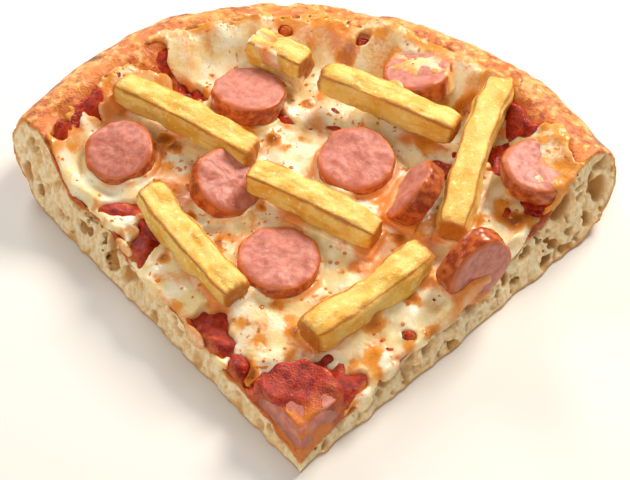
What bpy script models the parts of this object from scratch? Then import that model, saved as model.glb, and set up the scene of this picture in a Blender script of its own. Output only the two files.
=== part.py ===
"""A wedge cut from a round pizza: risen dough with a thick rim, tomato sauce, melted cheese,
slices of frankfurter and fries. Metres, +Z up. The tip of the wedge points to -Y, the rim
lies at +Y, and the flat underside stands on Z = 0. Sizes below are in millimetres."""

import math

import bmesh
import bpy
from mathutils import Matrix, Vector

MM = 0.001

# The wedge
RADIUS = 165.0  # tip to the middle of the rim
HALF_ANGLE = math.radians(44.2)  # between the middle and either cut
TIP = Vector((0.0, -RADIUS / 2, 0.0))
LEAN = 0.25  # sideways lean of a cut face per mm of height, from the pull of the knife
SAG = 4.4  # the top edge of each cut is drawn in further here, behind the rim
SAG_DISTANCE = 100.0  # from the tip
SAG_LENGTH = 10.0
SAG_HEIGHT = 17.0  # height at which it is drawn in that far
TIP_BLUNT = 1.5  # the tip is cut off this far from its point
GAP = 0.35  # between pieces that touch

# The rim, seen from above as an arc about a centre of its own, measured from the tip
RIM_CENTRE = Vector((-4.6, 66.6, 0.0))
RIM_ARC = 100.8
RIM_WAVE = 1.4  # in and out of that arc
RIM_WAVES = math.tau / math.radians(56)
RIM_WAVE_PEAK = math.radians(-13)

# The rim, cut across
CREST_IN = 13.0  # crest, in from the outside
HEEL_IN = 21.0  # where the underside leaves the table
CREST_HEIGHT = 29.0
BULGE_HEIGHT = 16.0  # height of the outermost point
SLOPE_WIDTH = 17.0  # from the crest in to the flat of the dough
RIM_WIDTH = CREST_IN + SLOPE_WIDTH

# The flat of the dough, which thickens away from the tip
TIP_THICKNESS = 4.0
THICKENING = 10.5
THICKENING_LENGTH = 38.0

# The layers on it
SAUCE_THICKNESS = 1.2
SAUCE_IN = 18.0  # edge of the sauce, in from the outside of the rim
CHEESE_THICKNESS = 3.2
CHEESE_IN = 20.5
CHEESE_START = 33.0  # where the cheese begins, from the tip
OUTLINE_BACK = 6.0  # the outline of a layer fans out from this far behind the tip

# A slice of frankfurter and a fry
SLICE_SIDES = 20
SLICE_EDGE = 0.9  # rounding of its cut edges
FRY_WIDTH = 9.6
FRY_CORNER = 1.6
FRY_STATIONS = 5

COLUMNS = 30  # across the wedge
FLAT_ROWS = 9  # along it, on the flat of the dough
SLOPE_ROWS = 4
BULGE_ROWS = 4

# Centre of the top face (x, y, z), diameter, thickness, lean of the face from level and the
# compass direction it leans to, in degrees from +X
FRANKFURTERS = (
    ((-22.9, 40.4, 25.6), 23.3, 7.5, 9.0, 48.6),
    ((-60.5, 13.2, 24.0), 21.6, 7.0, 16.0, -112.0),
    ((-25.5, 2.6, 23.0), 22.0, 6.5, 33.0, -20.0),
    ((11.6, 15.5, 21.5), 24.0, 7.0, 8.8, -86.0),
    ((29.6, 48.6, 28.8), 21.7, 7.0, 9.0, 150.0),
    ((26.9, 2.4, 23.0), 21.1, 7.5, 57.3, 163.7),
    ((-9.3, -23.2, 19.9), 24.4, 7.0, 1.9, 0.0),
    ((48.6, -27.1, 20.6), 22.1, 7.5, 86.0, -54.4),
    ((66.0, 11.0, 26.0), 21.4, 7.0, 6.0, -30.0),
    ((-0.9, -69.8, 14.8), 23.5, 5.5, 12.0, -90.0),
)
TIP_SLICE = 10  # this one lies across the tip, so both cuts trim it
# The two ends of each fry's centre line, and its sideways bend
FRIES = (
    ((-62.8, 36.8, 27.0), (-19.3, 12.7, 23.4), 1.0),
    ((-48.9, -3.2, 22.2), (-20.0, -38.2, 19.6), -0.8),
    ((-19.5, 3.7, 24.4), (18.9, -14.8, 20.8), 0.9),
    ((1.1, 44.8, 26.8), (42.0, 26.2, 23.5), 0.6),
    ((56.5, 44.2, 27.0), (40.3, -13.0, 21.4), -1.4),
    ((32.2, -21.5, 20.8), (0.8, -50.0, 18.4), 0.7),
    ((-23.0, 58.6, 27.4), (-5.5, 49.2, 26.6), 0.4),
)

# Openings in the cheese where the sauce stands up: centre x, y, length, width, turn in degrees
SAUCE_POOLS = (
    (-70.0, 28.5, 8.0, 5.5, 20.0),
    (-40.5, 44.5, 12.0, 5.0, -25.0),
    (-41.0, -15.0, 6.0, 9.0, -50.0),
    (-25.5, -42.0, 10.0, 5.5, -46.0),
    (39.0, 10.5, 7.0, 5.0, 10.0),
    (12.0, 60.0, 7.0, 4.0, 0.0),
)
POOL_RISE = 2.6  # how far the sauce stands up in them
POOL_MARGIN = 0.9  # its edge stays this far inside the opening
POOL_SIDES = 12

# Bubbles that the knife opened: side (-1 left, 1 right), along the cut from the tip, height,
# then length along the cut, height and depth
BUBBLES = (
    (-1, 102.6, 15.0, 9.0, 9.5, 5.0),
    (-1, 131.0, 20.0, 6.0, 5.0, 4.0),
    (-1, 56.0, 6.0, 6.0, 3.4, 3.0),
    (1, 111.9, 18.0, 11.5, 12.0, 6.0),
    (1, 128.0, 13.0, 8.0, 9.0, 5.0),
    (1, 85.0, 7.2, 6.0, 4.6, 4.0),
    (1, 45.0, 7.0, 5.0, 3.4, 3.0),
)

CRUST = (0.72, 0.42, 0.17)
SAUCE_RED = (0.55, 0.06, 0.03)
CHEESE_CREAM = (0.93, 0.83, 0.62)
FRANKFURTER_PINK = (0.72, 0.33, 0.25)
FRY_YELLOW = (0.86, 0.60, 0.18)


def clear_scene():
    for obj in list(bpy.data.objects):
        bpy.data.objects.remove(obj, do_unlink=True)


def make_material(name, colour, roughness):
    material = bpy.data.materials.new(name)
    material.use_nodes = True
    shader = material.node_tree.nodes["Principled BSDF"]
    shader.inputs["Base Color"].default_value = (*colour, 1.0)
    shader.inputs["Roughness"].default_value = roughness
    shader.inputs["Metallic"].default_value = 0.0
    return material


def new_object(name, mesh, material=None):
    obj = bpy.data.objects.new(name, mesh)
    bpy.context.scene.collection.objects.link(obj)
    if material:
        mesh.materials.append(material)
    return obj


# The shape of the wedge


def cut_direction(side):
    return Vector((side * math.sin(HALF_ANGLE), math.cos(HALF_ANGLE), 0.0))


def apex(height):
    """Where the two leaning cuts meet at this height."""
    return TIP + Vector((0.0, LEAN * height / math.sin(HALF_ANGLE), height))


def rim_arc(angle, inset):
    return RIM_ARC - inset + RIM_WAVE * math.cos(RIM_WAVES * (angle - RIM_WAVE_PEAK))


def reach(angle, inset, height):
    """Distance from the apex, in this direction, to the rim's arc moved in by inset."""
    direction = Vector((math.sin(angle), math.cos(angle), 0.0))
    centre = TIP + RIM_CENTRE - apex(height)
    centre.z = 0.0
    along = centre.dot(direction)
    return along + math.sqrt(rim_arc(angle, inset) ** 2 - centre.length_squared + along * along)


def fan_point(angle, distance, height):
    """A point on the ray from the apex at this height, drawn in near the cuts where they sag."""
    direction = Vector((math.sin(angle), math.cos(angle), 0.0))
    nearness = abs(angle / HALF_ANGLE) ** 3
    hump = math.exp(-(((distance - SAG_DISTANCE) / SAG_LENGTH) ** 2) / 2)
    drawn_in = SAG * nearness * hump * min(height / SAG_HEIGHT, 1.0)
    inward = Vector((-math.copysign(math.cos(HALF_ANGLE), angle), math.sin(HALF_ANGLE), 0.0))
    return apex(height) + distance * direction + drawn_in * inward


def flat_height(distance):
    return TIP_THICKNESS + THICKENING * (1 - math.exp(-distance / THICKENING_LENGTH))


def crest_height(angle):
    """The rim rose unevenly, and higher on the left."""
    lumps = 0.7 * math.sin(9 * angle + 1.0) + 0.5 * math.sin(17 * angle)
    return CREST_HEIGHT - 0.8 * math.sin(angle) + lumps


def top_height(angle, distance, inset):
    """Height of the dough's top, from the tip to the crest of the rim."""
    flat = flat_height(distance)
    if inset >= RIM_WIDTH:
        return flat
    climb = (RIM_WIDTH - inset) / SLOPE_WIDTH
    return flat + (crest_height(angle) - flat) * (0.5 - 0.5 * math.cos(math.pi * climb))


def ground_height(x, y):
    """Height of the dough's top over this place."""
    place = Vector((x, y, 0.0))
    height = THICKENING
    for _ in range(4):
        ray = place - apex(height)
        ray.z = 0.0
        angle = math.atan2(ray.x, ray.y)
        inset = rim_arc(angle, 0.0) - (place - TIP - RIM_CENTRE).length
        height = top_height(angle, ray.length, inset)
    return height


def ground_normal(x, y):
    step = 1.0
    slope_x = (ground_height(x + step, y) - ground_height(x - step, y)) / (2 * step)
    slope_y = (ground_height(x, y + step) - ground_height(x, y - step)) / (2 * step)
    return Vector((-slope_x, -slope_y, 1.0)).normalized()


def loft(name, loops, material):
    """A solid through closed loops of points, each its lower half out and its upper half back."""
    count = len(loops[0])
    half = count // 2
    mesh = bpy.data.meshes.new(name)
    work = bmesh.new()
    rings = [[work.verts.new(point * MM) for point in loop] for loop in loops]
    for ring, following in zip(rings, rings[1:]):
        for k in range(count):
            k_next = (k + 1) % count
            work.faces.new((ring[k], following[k], following[k_next], ring[k_next]))
    for ring, turned in ((rings[0], False), (rings[-1], True)):
        for k in range(half - 1):
            quad = [ring[k], ring[k + 1], ring[count - 2 - k], ring[count - 1 - k]]
            work.faces.new(reversed(quad) if turned else quad)
    bmesh.ops.recalc_face_normals(work, faces=work.faces)
    work.to_mesh(mesh)
    work.free()
    return new_object(name, mesh, material)


def column_angles():
    return [HALF_ANGLE * (2 * k / COLUMNS - 1) for k in range(COLUMNS + 1)]


def dough_top(angle):
    """The dough's top along one ray, as (distance from the apex, height), tip to crest."""
    rows = []
    for row in range(FLAT_ROWS):
        part = row / FLAT_ROWS
        height = flat_height(part * reach(angle, RIM_WIDTH, 0.0))
        distance = TIP_BLUNT + (reach(angle, RIM_WIDTH, height) - TIP_BLUNT) * part
        rows.append((distance, height))
    for row in range(SLOPE_ROWS + 1):
        inset = RIM_WIDTH - SLOPE_WIDTH * row / SLOPE_ROWS
        height = top_height(angle, reach(angle, inset, BULGE_HEIGHT), inset)
        rows.append((reach(angle, inset, height), height))
    return rows


def dough_loop(angle):
    """The dough cut along one ray: its underside out to the bulge, and its top back."""
    flat_reach = reach(angle, RIM_WIDTH, 0.0)
    top = [fan_point(angle, *row) for row in dough_top(angle)]
    bottom = []
    for row in range(FLAT_ROWS):
        distance = TIP_BLUNT + (flat_reach - TIP_BLUNT) * row / FLAT_ROWS
        bottom.append(fan_point(angle, distance, 0.0))
    for row in range(SLOPE_ROWS + 1):
        inset = RIM_WIDTH - (RIM_WIDTH - HEEL_IN) * row / SLOPE_ROWS
        bottom.append(fan_point(angle, reach(angle, inset, 0.0), 0.0))
    rise = crest_height(angle) - BULGE_HEIGHT
    for row in range(1, BULGE_ROWS + 1):
        turn = math.radians(84) * row / BULGE_ROWS
        low = BULGE_HEIGHT * (1 - math.cos(turn))
        high = BULGE_HEIGHT + rise * math.cos(turn)
        heel, crest = (width * (1 - math.sin(turn)) for width in (HEEL_IN, CREST_IN))
        bottom.append(fan_point(angle, reach(angle, heel, low), low))
        top.append(fan_point(angle, reach(angle, crest, high), high))
    return bottom + top[::-1]


def raised(rows, lift):
    """The same line along a ray, moved out square to itself."""
    moved = []
    for k, (distance, height) in enumerate(rows):
        before, after = rows[max(k - 1, 0)], rows[min(k + 1, len(rows) - 1)]
        run, rise = after[0] - before[0], after[1] - before[1]
        length = math.hypot(run, rise)
        moved.append((distance - lift * rise / length, height + lift * run / length))
    return moved


def layer_loop(angle, lift, thickness):
    """A layer over the flat and the rim's slope, cut along one ray."""
    rows = dough_top(angle)
    bottom = [fan_point(angle, *row) for row in raised(rows, lift)]
    top = [fan_point(angle, *row) for row in raised(rows, lift + thickness)]
    return bottom + top[::-1]


def make_outline(start, edge_inset):
    """An upright block whose outline is where a layer lies, wider than the wedge at both cuts."""
    wide = [angle * 1.12 for angle in column_angles()]
    outline = []
    for angle in wide:
        outline.append(fan_point(angle, reach(angle, edge_inset(angle), BULGE_HEIGHT), 0.0))
    for angle in reversed(wide):
        outline.append(fan_point(angle, start(angle) + OUTLINE_BACK, 0.0) - Vector((0, OUTLINE_BACK, 0)))
    mesh = bpy.data.meshes.new("outline")
    work = bmesh.new()
    low = [work.verts.new((point - Vector((0, 0, 5))) * MM) for point in outline]
    high = [work.verts.new((point + Vector((0, 0, 60))) * MM) for point in outline]
    for k in range(len(outline)):
        k_next = (k + 1) % len(outline)
        work.faces.new((low[k], low[k_next], high[k_next], high[k]))
    work.faces.new(reversed(low))
    work.faces.new(high)
    bmesh.ops.recalc_face_normals(work, faces=work.faces)
    work.to_mesh(mesh)
    work.free()
    return new_object("outline", mesh)


def make_dough(material):
    return loft("dough", [dough_loop(angle) for angle in column_angles()], material)


def make_floor_of_sauce():
    """The dough's flat and slope, raised by the gap: what the sauce keeps clear of."""
    loops = []
    for angle in column_angles():
        rows = raised(dough_top(angle), GAP - 0.05)
        loops.append([fan_point(angle, row[0], 0.0) for row in rows] + [fan_point(angle, *row) for row in rows[::-1]])
    return loft("floor_of_sauce", loops, None)


def make_layer(name, lift, thickness, start, edge_inset, material):
    loops = [layer_loop(angle, lift, thickness) for angle in column_angles()]
    layer = loft(name, loops, material)
    outline = make_outline(start, edge_inset)
    combine(layer, [outline], "INTERSECT")
    remove([outline])
    return layer


def make_sauce(material):
    def edge_inset(angle):
        return SAUCE_IN + 1.2 * math.sin(13 * angle) + 0.8 * math.sin(29 * angle + 2)

    def start(angle):
        return 0.5 - OUTLINE_BACK

    return make_layer("sauce", GAP, SAUCE_THICKNESS, start, edge_inset, material)


def make_cheese(material):
    def edge_inset(angle):
        return CHEESE_IN + 1.6 * math.sin(11 * angle + 0.5) + 1.1 * math.sin(23 * angle)

    def start(angle):
        return CHEESE_START + 3.0 * math.sin(5 * angle + 1) - 8.0 * math.sin(angle)

    lift = GAP + SAUCE_THICKNESS + GAP
    return make_layer("cheese", lift, CHEESE_THICKNESS, start, edge_inset, material)


# Solids that are laid on it or cut from it


def turned_solid(name, rings, sides, material=None):
    """A closed solid from rings of (radius along x, radius along y, height)."""
    mesh = bpy.data.meshes.new(name)
    work = bmesh.new()
    made = []
    for radius_x, radius_y, height in rings:
        ring = []
        for k in range(sides):
            turn = math.tau * k / sides
            point = Vector((radius_x * math.cos(turn), radius_y * math.sin(turn), height))
            ring.append(work.verts.new(point * MM))
        made.append(ring)
    for ring, following in zip(made, made[1:]):
        for k in range(sides):
            k_next = (k + 1) % sides
            work.faces.new((ring[k], ring[k_next], following[k_next], following[k]))
    work.faces.new(reversed(made[0]))
    work.faces.new(made[-1])
    work.to_mesh(mesh)
    work.free()
    return new_object(name, mesh, material)


def make_slice(name, spec, grow, material=None):
    """One slice of frankfurter, its top face at the stated place. It is slightly oval."""
    centre, diameter, thickness, lean, towards = spec
    radius = diameter / 2 + grow
    oval = radius * 0.97
    top, bottom = grow, -thickness - grow
    rings = (
        (radius - SLICE_EDGE, oval - SLICE_EDGE, bottom),
        (radius, oval, bottom + SLICE_EDGE),
        (radius, oval, top - SLICE_EDGE),
        (radius - SLICE_EDGE, oval - SLICE_EDGE, top),
    )
    obj = turned_solid(name, rings, SLICE_SIDES, material)
    tilt = Matrix.Rotation(math.radians(towards), 4, "Z") @ Matrix.Rotation(math.radians(lean), 4, "Y")
    obj.matrix_world = Matrix.Translation(Vector(centre) * MM) @ tilt
    return obj


def fry_section(width, height, corner):
    """Half widths of a square section with its four corners cut."""
    w, h = width / 2, height / 2
    return (
        (w - corner, -h), (w, -h + corner), (w, h - corner), (w - corner, h),
        (-w + corner, h), (-w, h - corner), (-w, -h + corner), (-w + corner, -h),
    )


def make_fry(name, spec, grow, material=None):
    """One fry: a bar of square section, bent sideways and a little thinner at its ends."""
    start, end, bend = Vector(spec[0]), Vector(spec[1]), spec[2]
    along = (end - start).normalized()
    side = Vector((0, 0, 1)).cross(along).normalized()
    up = along.cross(side)
    start, end = start - along * grow, end + along * grow
    mesh = bpy.data.meshes.new(name)
    work = bmesh.new()
    rings = []
    for station in range(FRY_STATIONS):
        part = station / (FRY_STATIONS - 1)
        middle = start.lerp(end, part) + side * bend * math.sin(math.pi * part)
        size = FRY_WIDTH * (0.94 + 0.06 * math.sin(math.pi * part)) + 2 * grow
        section = fry_section(size, size * 0.97, FRY_CORNER)
        rings.append([work.verts.new((middle + side * x + up * z) * MM) for x, z in section])
    for ring, following in zip(rings, rings[1:]):
        for k in range(8):
            k_next = (k + 1) % 8
            work.faces.new((ring[k], ring[k_next], following[k_next], following[k]))
    work.faces.new(reversed(rings[0]))
    work.faces.new(rings[-1])
    bmesh.ops.recalc_face_normals(work, faces=work.faces)
    work.to_mesh(mesh)
    work.free()
    return new_object(name, mesh, material)


def make_pool(spec, grow, low, high):
    """The sauce that stands up in one opening of the cheese, or with grow 0 that opening."""
    x, y, length, width, turn = spec
    long_half, wide_half = length / 2 - grow, width / 2 - grow
    rings = ((long_half, wide_half, low), (long_half, wide_half, high - 1), (long_half * 0.7, wide_half * 0.7, high))
    if not grow:
        rings = (rings[0], (long_half, wide_half, high))
    pool = turned_solid("pool", rings, POOL_SIDES)
    place = Matrix.Translation(Vector((x, y, ground_height(x, y))) * MM)
    tilt = ground_normal(x, y).to_track_quat("Z", "Y").to_matrix().to_4x4()
    pool.matrix_world = place @ tilt @ Matrix.Rotation(math.radians(turn), 4, "Z")
    return pool


def make_bubble(spec):
    """An egg-shaped hollow, centred on the cut face."""
    side, along, height, length, tall, deep = spec
    inward = Vector((-side * math.cos(HALF_ANGLE), math.sin(HALF_ANGLE), 0.0))
    place = TIP + cut_direction(side) * along + inward * LEAN * height + Vector((0, 0, height))
    rings = []
    for k in range(1, 6):
        turn = math.pi * k / 6
        radius = math.sin(turn)
        rings.append((radius * length / 2, radius * tall / 2, -math.cos(turn) * deep))
    bubble = turned_solid("bubble", rings, 10)
    axes = Matrix((cut_direction(side), Vector((0, 0, 1)), cut_direction(side).cross(Vector((0, 0, 1)))))
    bubble.matrix_world = Matrix.Translation(place * MM) @ axes.transposed().to_4x4()
    return bubble


def make_half_space(side):
    """All that lies beyond one cut."""
    bpy.ops.mesh.primitive_cube_add(size=2 * RADIUS * MM)
    block = bpy.context.object
    outward = Vector((side * math.cos(HALF_ANGLE), -math.sin(HALF_ANGLE), LEAN)).normalized()
    turn = outward.to_track_quat("Z", "Y").to_matrix().to_4x4()
    block.matrix_world = Matrix.Translation((TIP + outward * RADIUS) * MM) @ turn
    return block


def combine(obj, others, operation):
    """Joins or cuts obj with each of the others, then applies the result and drops loose slivers."""
    for other in others:
        modifier = obj.modifiers.new(operation.lower(), "BOOLEAN")
        modifier.operation = operation
        modifier.object = other
    bpy.context.view_layer.update()
    evaluated = obj.evaluated_get(bpy.context.evaluated_depsgraph_get())
    mesh = bpy.data.meshes.new_from_object(evaluated)
    obj.modifiers.clear()
    obj.data = mesh
    keep_largest(mesh)


def keep_largest(mesh):
    work = bmesh.new()
    work.from_mesh(mesh)
    waiting = set(work.verts)
    bodies = []
    while waiting:
        body, edge_of_search = set(), [waiting.pop()]
        while edge_of_search:
            vertex = edge_of_search.pop()
            body.add(vertex)
            for edge in vertex.link_edges:
                other = edge.other_vert(vertex)
                if other in waiting:
                    waiting.discard(other)
                    edge_of_search.append(other)
        bodies.append(body)
    bodies.sort(key=len)
    slivers = [vertex for body in bodies[:-1] for vertex in body]
    bmesh.ops.delete(work, geom=slivers, context="VERTS")
    work.to_mesh(mesh)
    work.free()


def remove(objects):
    for obj in objects:
        bpy.data.objects.remove(obj, do_unlink=True)


def boxes_meet(one, other):
    corners = [[obj.matrix_world @ Vector(c) for c in obj.bound_box] for obj in (one, other)]
    for axis in range(3):
        first, second = ([corner[axis] for corner in each] for each in corners)
        if max(first) < min(second) or max(second) < min(first):
            return False
    return True


def cut_from(obj, cutters):
    bpy.context.view_layer.update()
    near = [cutter for cutter in cutters if boxes_meet(obj, cutter)]
    if near:
        combine(obj, near, "DIFFERENCE")


def main():
    clear_scene()
    dough = make_dough(make_material("baked_dough", CRUST, 0.75))
    sauce = make_sauce(make_material("tomato_sauce", SAUCE_RED, 0.3))
    cheese = make_cheese(make_material("melted_cheese", CHEESE_CREAM, 0.35))

    slices, slice_cutters = [], []
    for k, spec in enumerate(FRANKFURTERS, 1):
        material = make_material(f"frankfurter_{k}", FRANKFURTER_PINK, 0.35)
        slices.append(make_slice(f"frankfurter_{k}", spec, 0.0, material))
        slice_cutters.append(make_slice(f"slice_cutter_{k}", spec, GAP))
    fries, fry_cutters = [], []
    for k, spec in enumerate(FRIES, 1):
        fries.append(make_fry(f"fry_{k}", spec, 0.0, make_material(f"fry_{k}", FRY_YELLOW, 0.45)))
        fry_cutters.append(make_fry(f"fry_cutter_{k}", spec, GAP))

    half_spaces = [make_half_space(side) for side in (-1, 1)]
    combine(slices[TIP_SLICE - 1], half_spaces, "DIFFERENCE")
    for piece in slices:
        cut_from(piece, fry_cutters)

    openings = [make_pool(spec, 0.0, -6.0, 9.0) for spec in SAUCE_POOLS]
    pool_top = GAP + SAUCE_THICKNESS + POOL_RISE
    pools = [make_pool(spec, POOL_MARGIN, GAP + 0.4, pool_top) for spec in SAUCE_POOLS]
    combine(sauce, pools, "UNION")
    floor = make_floor_of_sauce()
    combine(sauce, [floor], "DIFFERENCE")
    cut_from(cheese, openings + slice_cutters + fry_cutters)
    cut_from(sauce, slice_cutters + fry_cutters)
    bubbles = [make_bubble(spec) for spec in BUBBLES]
    cut_from(dough, bubbles + slice_cutters + fry_cutters)

    remove([floor] + half_spaces + openings + pools + bubbles + slice_cutters + fry_cutters)
    for obj in bpy.data.objects:
        obj.data.shade_smooth()
        obj.data.set_sharp_from_angle(angle=math.radians(35))


main()
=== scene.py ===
# %% [markdown]
# # A slice of pizza with frankfurter and fries
#
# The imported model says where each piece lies: the dough, the sauce and cheese on it, ten slices
# of frankfurter and seven fries. This script keeps all of them in place and gives each one its
# fine shape and its finish. It first sets up the view and the light, then the tools that the
# baked and melted pieces share, and then makes the pieces from the dough upwards.

import math

import bmesh
import bpy
import numpy as np
import openvdb
from mathutils import Euler, Matrix, Vector


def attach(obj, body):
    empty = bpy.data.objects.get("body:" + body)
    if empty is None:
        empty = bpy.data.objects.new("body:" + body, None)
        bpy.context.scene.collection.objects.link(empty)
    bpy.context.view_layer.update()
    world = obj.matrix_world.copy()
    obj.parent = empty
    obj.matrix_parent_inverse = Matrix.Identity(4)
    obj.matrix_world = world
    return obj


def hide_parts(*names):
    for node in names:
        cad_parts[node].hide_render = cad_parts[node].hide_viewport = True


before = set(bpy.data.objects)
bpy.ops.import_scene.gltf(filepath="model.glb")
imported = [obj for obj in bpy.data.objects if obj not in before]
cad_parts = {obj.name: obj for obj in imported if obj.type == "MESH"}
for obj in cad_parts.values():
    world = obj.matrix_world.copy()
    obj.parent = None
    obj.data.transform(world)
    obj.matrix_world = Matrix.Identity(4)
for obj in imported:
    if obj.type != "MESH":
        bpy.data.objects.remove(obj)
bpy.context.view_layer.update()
MM = 0.001

# %% [markdown]
# ## View, floor and light
#
# Food is lit from behind and to one side, because melted cheese and cut sausage look moist only
# where they mirror a bright shape. One large soft panel stands at the back right, a weaker one
# fills in from the front left, and a pale world keeps the shadows open. The floor is plain.

# %% Camera
CAMERA_PLACE = Vector((12.84, -258.22, 308.14)) * MM
CAMERA_TOWARDS = Vector((-0.03217, 0.64198, -0.76604))
LENS = 74.29  # on a sensor 36 mm wide


def aim(obj, place, towards):
    """Puts a camera or a light here, pointing that way."""
    turn = towards.to_track_quat("-Z", "Y").to_matrix().to_4x4()
    obj.matrix_world = Matrix.Translation(place) @ turn


def link(name, data):
    """Adds an object with this data to the scene."""
    obj = bpy.data.objects.new(name, data)
    bpy.context.scene.collection.objects.link(obj)
    return obj


camera = link("camera", bpy.data.cameras.new("camera"))
camera.data.lens = LENS
camera.data.sensor_width = 36.0
camera.data.clip_start = 0.01
aim(camera, CAMERA_PLACE, CAMERA_TOWARDS)
bpy.context.scene.camera = camera
bpy.context.scene.view_settings.view_transform = "Standard"
print("camera", round(CAMERA_PLACE.length / MM), "mm from the slice")


# %% Colours and nodes
def linear(code):
    """An sRGB hex colour as a linear one."""
    values = [int(code[k : k + 2], 16) / 255 for k in (1, 3, 5)]
    return tuple(v / 12.92 if v <= 0.04045 else ((v + 0.055) / 1.055) ** 2.4 for v in values) + (1.0,)


def add(tree, kind, inputs=None, **settings):
    """Adds a node. An input takes a value, or a socket to link from."""
    made = tree.nodes.new(kind)
    for name, value in settings.items():
        setattr(made, name, value)
    for name, value in (inputs or {}).items():
        if isinstance(value, bpy.types.NodeSocket):
            tree.links.new(value, made.inputs[name])
        else:
            made.inputs[name].default_value = value
    return made


# %% Light
def make_panel(name, place, size, power, colour):
    """A square soft light that points at the middle of the slice."""
    panel = link(name, bpy.data.lights.new(name, "AREA"))
    panel.data.shape = "SQUARE"
    panel.data.size = size
    panel.data.energy = power
    panel.data.color = linear(colour)[:3]
    aim(panel, Vector(place), Vector((0, 0, 0.01)) - Vector(place))


make_panel("key", (0.32, 0.42, 0.50), 0.26, 6.0, "#fff6ea")
make_panel("back", (-0.30, 0.55, 0.42), 0.24, 2.4, "#ffffff")
make_panel("fill", (-0.25, -0.50, 0.55), 0.46, 2.5, "#fff4e8")

world = bpy.data.worlds.new("studio")
world.use_nodes = True
bpy.context.scene.world = world
world.node_tree.nodes["Background"].inputs["Color"].default_value = linear("#f2f0ec")
world.node_tree.nodes["Background"].inputs["Strength"].default_value = 0.27

# %% Floor
floor_mesh = bpy.data.meshes.new("floor")
floor_mesh.from_pydata([(-3, -3, 0), (3, -3, 0), (3, 3, 0), (-3, 3, 0)], [], [(0, 1, 2, 3)])
floor_paint = bpy.data.materials.new("studio_floor")
floor_paint.use_nodes = True
floor_paint.node_tree.nodes["Principled BSDF"].inputs["Base Color"].default_value = linear("#e6e3de")
floor_paint.node_tree.nodes["Principled BSDF"].inputs["Roughness"].default_value = 0.6
floor_mesh.materials.append(floor_paint)
floor = link("floor", floor_mesh)

# %% [markdown]
# ## Shapes that bake and melt
#
# Dough, sauce and cheese have no straight edge and no even thickness. They bubble, tear, slump
# and creep up whatever lies in them, which is hard to do by moving the points of a mesh. Here
# each one is a field instead: a number at every point of a fine block of space, above zero
# inside the food and below zero outside. Fields are easy to add lumps to, to cut, to hollow and
# to run together. OpenVDB, which comes with Blender, then draws the skin where the number is 0.
#
# Sizes from here on are in millimetres, and become metres when a mesh is made.

# %% The block of space
VOXEL = 0.6
BLOCK_LOW = (-99.0, -85.2, -1.8)
BLOCK_HIGH = (94.8, 87.0, 36.6)
AXES = [np.arange(low, high, VOXEL, dtype=np.float32) for low, high in zip(BLOCK_LOW, BLOCK_HIGH)]
X, Y, Z = AXES[0][:, None, None], AXES[1][None, :, None], AXES[2][None, None, :]
print("block:", [len(axis) for axis in AXES], "points of", VOXEL, "mm")


# %% Lumps
def spline_weights(axis, spacing):
    """Weights that turn random values, this far apart, into a smooth curve along an axis."""
    steps = (axis - axis[0]) / spacing
    cell = steps.astype(int)
    part = steps - cell
    weights = np.zeros((len(axis), cell.max() + 4), np.float32)
    curve = (
        (1 - part) ** 3,
        3 * part**3 - 6 * part**2 + 4,
        -3 * part**3 + 3 * part**2 + 3 * part + 1,
        part**3,
    )
    for k, weight in enumerate(curve):
        weights[np.arange(len(axis)), cell + k] = weight / 6
    return weights


def lumps(size, seed, stretch=(1.0, 1.0, 1.0)):
    """Smooth noise through the block, its lumps about this large, with a spread of 1."""
    weights = [spline_weights(axis, size * by) for axis, by in zip(AXES, stretch)]
    values = np.random.default_rng(seed).normal(size=[w.shape[1] for w in weights]).astype(np.float32)
    for w in weights:
        values = np.tensordot(values, w, axes=(0, 1))
    return values * 3.0


def flat_lumps(size, seed):
    """The same on the ground plan only."""
    along, across = (spline_weights(axis, size) for axis in AXES[:2])
    values = np.random.default_rng(seed).normal(size=(along.shape[1], across.shape[1])).astype(np.float32)
    return (along @ values @ across.T) * 2.1


def smooth_step(low, high, values):
    """0 below low, 1 above high, and a smooth rise between them."""
    part = np.clip((values - low) / (high - low), 0, 1)
    return part * part * (3 - 2 * part)


def join(one, other, blend):
    """Both fields, run together over this width, as melted things do."""
    part = np.clip(0.5 + 0.5 * (one - other) / blend, 0, 1)
    return other + (one - other) * part + blend * part * (1 - part)


print("lumps 5 mm apart, spread:", round(float(lumps(5.0, 1).std()), 2))

# %% [markdown]
# ### The wedge
#
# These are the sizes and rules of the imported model: two cuts that meet at the tip and lean in,
# a flat that thickens away from the tip, and a rim that rises from it and rolls over.

# %% The wedge's rules
RADIUS = 165.0
HALF_ANGLE = math.radians(44.2)
TIP_Y = -RADIUS / 2
LEAN = 0.25
SAG, SAG_DISTANCE, SAG_LENGTH, SAG_HEIGHT = 4.4, 100.0, 10.0, 17.0
RIM_X, RIM_Y, RIM_ARC = -4.6, TIP_Y + 66.6, 100.8
RIM_WAVE, RIM_WAVES, RIM_WAVE_PEAK = 1.4, math.tau / math.radians(56), math.radians(-13)
CREST_IN, HEEL_IN, CREST_HEIGHT, BULGE_HEIGHT = 13.0, 21.0, 29.0, 16.0
SLOPE_WIDTH = 17.0
RIM_WIDTH = CREST_IN + SLOPE_WIDTH
TIP_THICKNESS, THICKENING, THICKENING_LENGTH = 4.0, 10.5, 38.0
SIN, COS = math.sin(HALF_ANGLE), math.cos(HALF_ANGLE)

plan_x, plan_y = AXES[0][:, None], AXES[1][None, :]
plan_shift = LEAN * 11.0 / SIN  # where the cuts meet at the height of the topping
plan_angle = np.arctan2(plan_x, np.maximum(plan_y - TIP_Y, 0.5))
plan_distance = np.hypot(plan_x, plan_y - TIP_Y - plan_shift)
rim_wave = RIM_WAVE * np.cos(RIM_WAVES * (plan_angle - RIM_WAVE_PEAK))
plan_inset = RIM_ARC + rim_wave - np.hypot(plan_x - RIM_X, plan_y - RIM_Y)


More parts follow.
